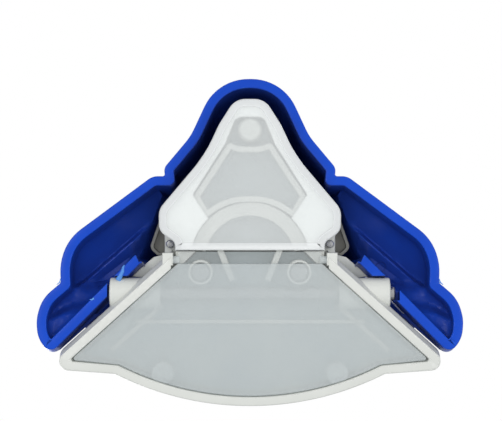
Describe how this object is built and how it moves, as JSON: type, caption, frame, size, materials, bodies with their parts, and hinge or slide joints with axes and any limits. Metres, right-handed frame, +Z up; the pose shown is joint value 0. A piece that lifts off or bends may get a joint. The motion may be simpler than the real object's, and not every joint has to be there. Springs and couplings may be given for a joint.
{
  "type": "corner rounder",
  "caption": "Palm-size lever corner rounder: a winged press handle drives a spring-loaded punch through a steel die, over a fan-shaped tray with a chip door.",
  "frame": {"origin": "centre of the footprint, on the surface that the tool stands on", "axes": "+Z up, +Y towards the nose that is pressed, -Y towards the curved edge where the paper goes in; the tool is symmetric across X"},
  "size_m": [0.1044, 0.0808, 0.0457],
  "materials": {
    "blue_plastic": "satin moulded ABS",
    "white_plastic": "warm white moulded ABS",
    "frosted_plastic": "frosted translucent polypropylene",
    "grey_plastic": "grey moulded plastic",
    "black_plastic": "black acetal",
    "tool_steel": "ground tool steel",
    "plated_steel": "bright plated steel"
  },
  "bodies": {
    "base": {"base_frame": "white_plastic", "nose_cover": "frosted_plastic", "axle_pin": "plated_steel", "die_plate": "tool_steel", "stripper_plate": "tool_steel", "nose_screw": "plated_steel", "die_screw_left": "plated_steel", "die_screw_right": "plated_steel", "housing_rivet_left": "plated_steel", "housing_rivet_right": "plated_steel", "punch_housing": "grey_plastic", "guide_pin_left": "plated_steel", "guide_pin_right": "plated_steel", "return_spring_left": "plated_steel", "return_spring_right": "plated_steel"},
    "handle": {"press_handle": "blue_plastic", "pressure_shoe": "black_plastic"},
    "punch": {"punch_blade": "tool_steel", "punch_holder": "black_plastic", "punch_screw": "plated_steel", "plunger_cap": "grey_plastic"},
    "door": {"chip_door": "frosted_plastic"}
  },
  "joints": [
    {"name": "handle_press", "type": "hinge", "parent": "base", "child": "handle", "pos_m": [0, -0.013, 0.0065], "axis": [-1, 0, 0], "range_deg": [0, 9], "stiffness_Nm_per_rad": 0.25, "springref_deg": -17.19},
    {"name": "punch_slide", "type": "slide", "parent": "base", "child": "punch", "axis": [0, 0, -1], "range_m": [0, 0.0035], "deforming": ["return_spring_left", "return_spring_right"]},
    {"name": "chip_door_hinge", "type": "hinge", "parent": "base", "child": "door", "pos_m": [0, -0.0046, 0.0016], "axis": [1, 0, 0], "range_deg": [0, 90]}
  ],
  "couplings": [
    {"joint": "punch_slide", "follows": "handle_press", "m_per_rad": 0.02196}
  ]
}
